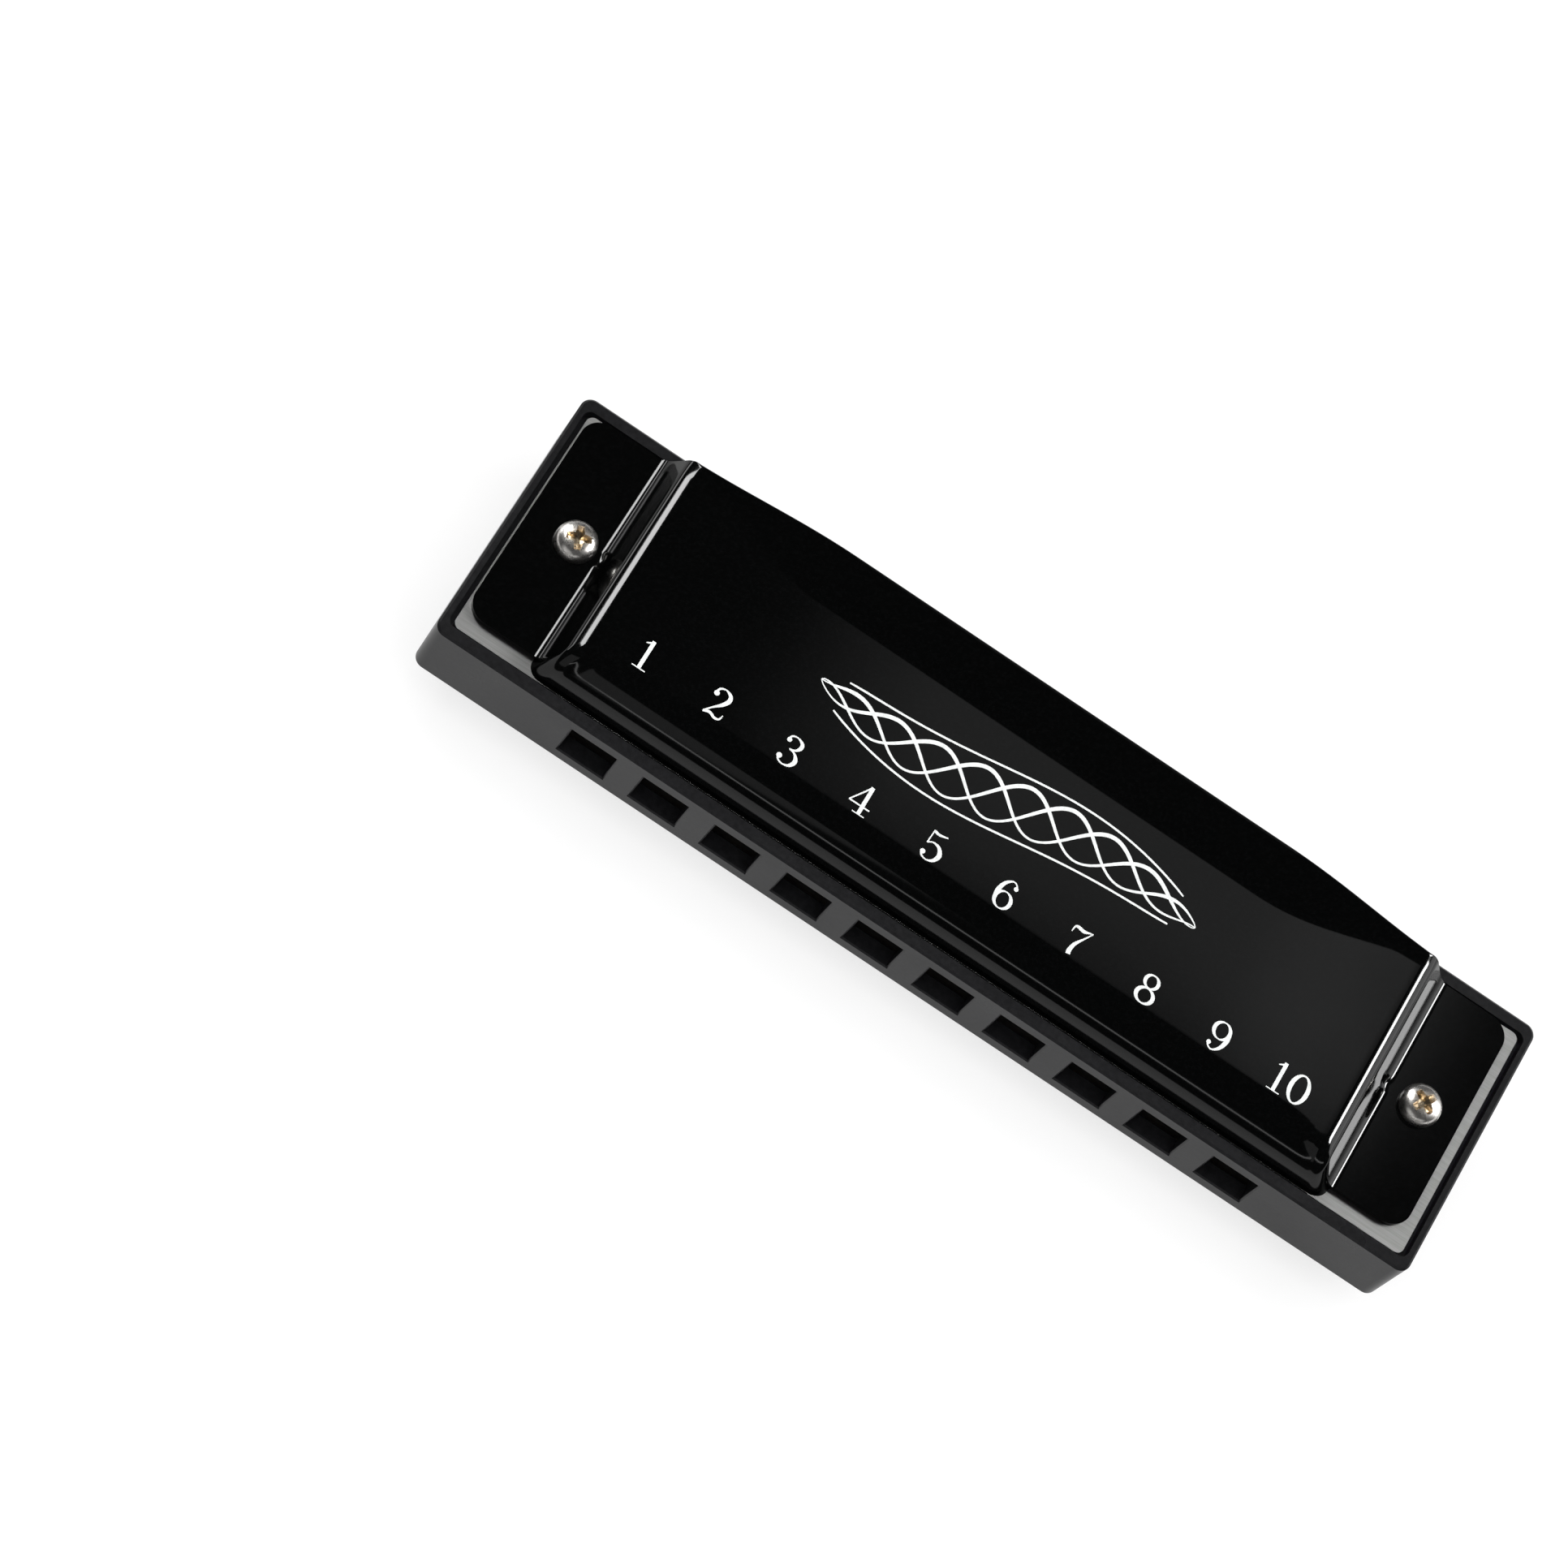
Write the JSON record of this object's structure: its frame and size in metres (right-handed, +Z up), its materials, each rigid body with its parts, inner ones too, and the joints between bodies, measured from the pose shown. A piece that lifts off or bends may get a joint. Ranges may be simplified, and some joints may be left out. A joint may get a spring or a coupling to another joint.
{
  "type": "ten-hole diatonic harmonica",
  "caption": "Small diatonic harmonica with a recessed-plate plastic comb, black sheet covers open at the back, bolted ends and sprung brass reeds.",
  "frame": {"origin": "under the middle of the instrument, level with the lowest point of the bottom cover", "axes": "+X along the row of holes from the low notes to the high notes, +Y from the mouthpiece to the open back, +Z up through the top cover"},
  "size_m": [0.102, 0.0272, 0.02],
  "materials": {
    "comb_plastic": "satin",
    "cover_paint": "gloss",
    "plate_metal": "satin plating",
    "reed_brass": "satin",
    "bolt_nickel": "polished",
    "screw_steel": "satin"
  },
  "bodies": {
    "instrument": {"comb": "comb_plastic", "blow_reed_plate": "plate_metal", "draw_reed_plate": "plate_metal", "blow_reed_roots": "reed_brass", "draw_reed_roots": "reed_brass", "blow_rivets": "reed_brass", "draw_rivets": "reed_brass", "upper_plate_screws": "screw_steel", "lower_plate_screws": "screw_steel", "top_cover": "cover_paint", "bottom_cover": "cover_paint", "cover_bolts": "bolt_nickel", "cover_nuts": "bolt_nickel"},
    "blow_reed_1": {"blow_reed_1": "reed_brass"},
    "draw_reed_1": {"draw_reed_1": "reed_brass"},
    "blow_reed_2": {"blow_reed_2": "reed_brass"},
    "draw_reed_2": {"draw_reed_2": "reed_brass"},
    "blow_reed_3": {"blow_reed_3": "reed_brass"},
    "draw_reed_3": {"draw_reed_3": "reed_brass"},
    "blow_reed_4": {"blow_reed_4": "reed_brass"},
    "draw_reed_4": {"draw_reed_4": "reed_brass"},
    "blow_reed_5": {"blow_reed_5": "reed_brass"},
    "draw_reed_5": {"draw_reed_5": "reed_brass"},
    "blow_reed_6": {"blow_reed_6": "reed_brass"},
    "draw_reed_6": {"draw_reed_6": "reed_brass"},
    "blow_reed_7": {"blow_reed_7": "reed_brass"},
    "draw_reed_7": {"draw_reed_7": "reed_brass"},
    "blow_reed_8": {"blow_reed_8": "reed_brass"},
    "draw_reed_8": {"draw_reed_8": "reed_brass"},
    "blow_reed_9": {"blow_reed_9": "reed_brass"},
    "draw_reed_9": {"draw_reed_9": "reed_brass"},
    "blow_reed_10": {"blow_reed_10": "reed_brass"},
    "draw_reed_10": {"draw_reed_10": "reed_brass"}
  },
  "joints": [
    {"name": "blow_reed_1_swing", "type": "hinge", "parent": "instrument", "child": "blow_reed_1", "pos_m": [-0.03375, 0.0058, 0.01287], "axis": [1, 0, 0], "range_deg": [-4, 4], "stiffness_Nm_per_rad": 0.025},
    {"name": "draw_reed_1_swing", "type": "hinge", "parent": "instrument", "child": "draw_reed_1", "pos_m": [-0.03375, -0.0079, 0.00598], "axis": [1, 0, 0], "range_deg": [-4, 4], "stiffness_Nm_per_rad": 0.0256},
    {"name": "blow_reed_2_swing", "type": "hinge", "parent": "instrument", "child": "blow_reed_2", "pos_m": [-0.02625, 0.00508, 0.01287], "axis": [1, 0, 0], "range_deg": [-3.83, 3.83], "stiffness_Nm_per_rad": 0.0262},
    {"name": "draw_reed_2_swing", "type": "hinge", "parent": "instrument", "child": "draw_reed_2", "pos_m": [-0.02625, -0.0079, 0.00598], "axis": [1, 0, 0], "range_deg": [-3.83, 3.83], "stiffness_Nm_per_rad": 0.0268},
    {"name": "blow_reed_3_swing", "type": "hinge", "parent": "instrument", "child": "blow_reed_3", "pos_m": [-0.01875, 0.00436, 0.01287], "axis": [1, 0, 0], "range_deg": [-3.67, 3.67], "stiffness_Nm_per_rad": 0.0275},
    {"name": "draw_reed_3_swing", "type": "hinge", "parent": "instrument", "child": "draw_reed_3", "pos_m": [-0.01875, -0.0079, 0.00598], "axis": [1, 0, 0], "range_deg": [-3.67, 3.67], "stiffness_Nm_per_rad": 0.0282},
    {"name": "blow_reed_4_swing", "type": "hinge", "parent": "instrument", "child": "blow_reed_4", "pos_m": [-0.01125, 0.00363, 0.01287], "axis": [1, 0, 0], "range_deg": [-3.5, 3.5], "stiffness_Nm_per_rad": 0.0289},
    {"name": "draw_reed_4_swing", "type": "hinge", "parent": "instrument", "child": "draw_reed_4", "pos_m": [-0.01125, -0.0079, 0.00598], "axis": [1, 0, 0], "range_deg": [-3.5, 3.5], "stiffness_Nm_per_rad": 0.0296},
    {"name": "blow_reed_5_swing", "type": "hinge", "parent": "instrument", "child": "blow_reed_5", "pos_m": [-0.00375, 0.00291, 0.01287], "axis": [1, 0, 0], "range_deg": [-3.33, 3.33], "stiffness_Nm_per_rad": 0.0305},
    {"name": "draw_reed_5_swing", "type": "hinge", "parent": "instrument", "child": "draw_reed_5", "pos_m": [-0.00375, -0.0079, 0.00598], "axis": [1, 0, 0], "range_deg": [-3.33, 3.33], "stiffness_Nm_per_rad": 0.0312},
    {"name": "blow_reed_6_swing", "type": "hinge", "parent": "instrument", "child": "blow_reed_6", "pos_m": [0.00375, 0.00219, 0.01287], "axis": [1, 0, 0], "range_deg": [-3.17, 3.17], "stiffness_Nm_per_rad": 0.0323},
    {"name": "draw_reed_6_swing", "type": "hinge", "parent": "instrument", "child": "draw_reed_6", "pos_m": [0.00375, -0.0079, 0.00598], "axis": [1, 0, 0], "range_deg": [-3.17, 3.17], "stiffness_Nm_per_rad": 0.0331},
    {"name": "blow_reed_7_swing", "type": "hinge", "parent": "instrument", "child": "blow_reed_7", "pos_m": [0.01125, 0.00147, 0.01287], "axis": [1, 0, 0], "range_deg": [-3, 3], "stiffness_Nm_per_rad": 0.0343},
    {"name": "draw_reed_7_swing", "type": "hinge", "parent": "instrument", "child": "draw_reed_7", "pos_m": [0.01125, -0.0079, 0.00598], "axis": [1, 0, 0], "range_deg": [-3, 3], "stiffness_Nm_per_rad": 0.0351},
    {"name": "blow_reed_8_swing", "type": "hinge", "parent": "instrument", "child": "blow_reed_8", "pos_m": [0.01875, 0.00074, 0.01287], "axis": [1, 0, 0], "range_deg": [-2.83, 2.83], "stiffness_Nm_per_rad": 0.0365},
    {"name": "draw_reed_8_swing", "type": "hinge", "parent": "instrument", "child": "draw_reed_8", "pos_m": [0.01875, -0.0079, 0.00598], "axis": [1, 0, 0], "range_deg": [-2.83, 2.83], "stiffness_Nm_per_rad": 0.0374},
    {"name": "blow_reed_9_swing", "type": "hinge", "parent": "instrument", "child": "blow_reed_9", "pos_m": [0.02625, 0.00002, 0.01287], "axis": [1, 0, 0], "range_deg": [-2.67, 2.67], "stiffness_Nm_per_rad": 0.0391},
    {"name": "draw_reed_9_swing", "type": "hinge", "parent": "instrument", "child": "draw_reed_9", "pos_m": [0.02625, -0.0079, 0.00598], "axis": [1, 0, 0], "range_deg": [-2.67, 2.67], "stiffness_Nm_per_rad": 0.04},
    {"name": "blow_reed_10_swing", "type": "hinge", "parent": "instrument", "child": "blow_reed_10", "pos_m": [0.03375, -0.0007, 0.01287], "axis": [1, 0, 0], "range_deg": [-2.5, 2.5], "stiffness_Nm_per_rad": 0.0421},
    {"name": "draw_reed_10_swing", "type": "hinge", "parent": "instrument", "child": "draw_reed_10", "pos_m": [0.03375, -0.0079, 0.00598], "axis": [1, 0, 0], "range_deg": [-2.5, 2.5], "stiffness_Nm_per_rad": 0.043}
  ]
}
